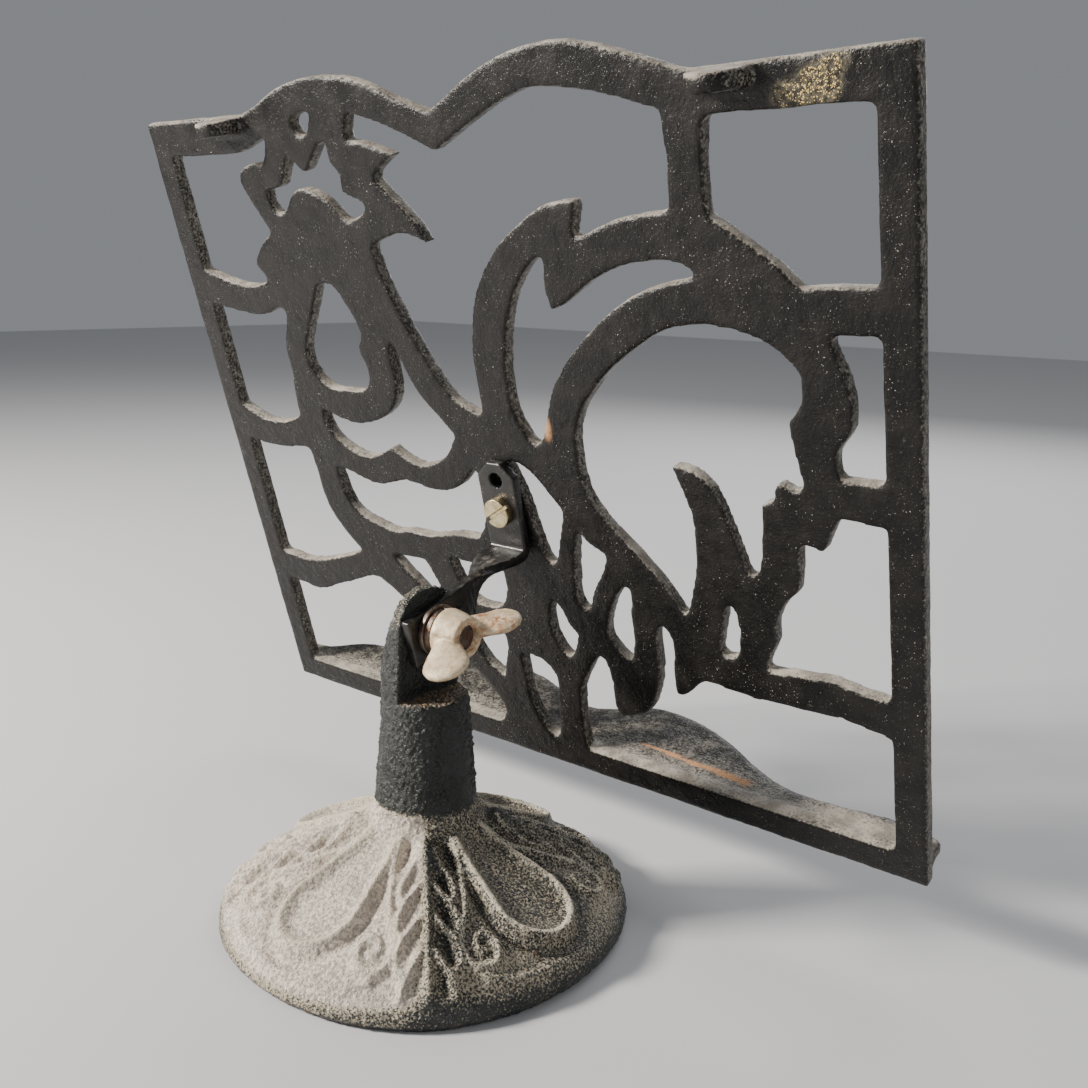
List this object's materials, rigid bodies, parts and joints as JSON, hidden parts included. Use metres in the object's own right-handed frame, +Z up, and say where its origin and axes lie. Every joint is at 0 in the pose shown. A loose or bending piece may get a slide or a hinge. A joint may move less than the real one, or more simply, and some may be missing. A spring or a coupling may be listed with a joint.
{
  "type": "cookbook stand",
  "caption": "Tilting cast-iron cookbook stand: openwork rooster back plate with a book ledge, on a leaf-cast round pedestal with a wing-nut pivot.",
  "frame": {"origin": "centre of the pedestal's foot, on the surface that it stands on", "axes": "+Z up; +X along the pivot bolt, towards its head; the plate's reading face looks to -Y and leans back towards +Y"},
  "size_m": [0.267, 0.1578, 0.2477],
  "materials": {
    "base_casting": "faded black-green paint, dusty on the relief",
    "plate_casting": "semi-gloss black paint over sand-cast iron",
    "strap_paint": "glossy black",
    "screw_brass": "worn satin",
    "bolt_steel": "tarnished, with rust",
    "washer_steel": "tarnished",
    "nut_zinc": "dull, chalky cast zinc with rust spots"
  },
  "bodies": {
    "stand": {"pedestal": "base_casting", "pivot_bolt": "bolt_steel"},
    "easel": {"back_plate": "plate_casting", "tilt_strap": "strap_paint", "strap_screw": "screw_brass"},
    "washers": {"flat_washer": "washer_steel", "lock_washer": "washer_steel"},
    "nut": {"wing_nut": "nut_zinc"}
  },
  "joints": [
    {"name": "tilt", "type": "hinge", "parent": "stand", "child": "easel", "pos_m": [-0.0029, 0, 0.0905], "axis": [-1, 0, 0], "range_deg": [-9, 60]},
    {"name": "washer_slide", "type": "slide", "parent": "stand", "child": "washers", "axis": [-1, 0, 0], "range_m": [0, 0.00425]},
    {"name": "nut_spin", "type": "hinge", "parent": "washers", "child": "nut", "pos_m": [-0.012, 0, 0.0905], "axis": [-1, 0, 0], "range_deg": [0, 1080]}
  ],
  "couplings": [
    {"joint": "washer_slide", "follows": "nut_spin", "m_per_rad": 0.00022441}
  ]
}
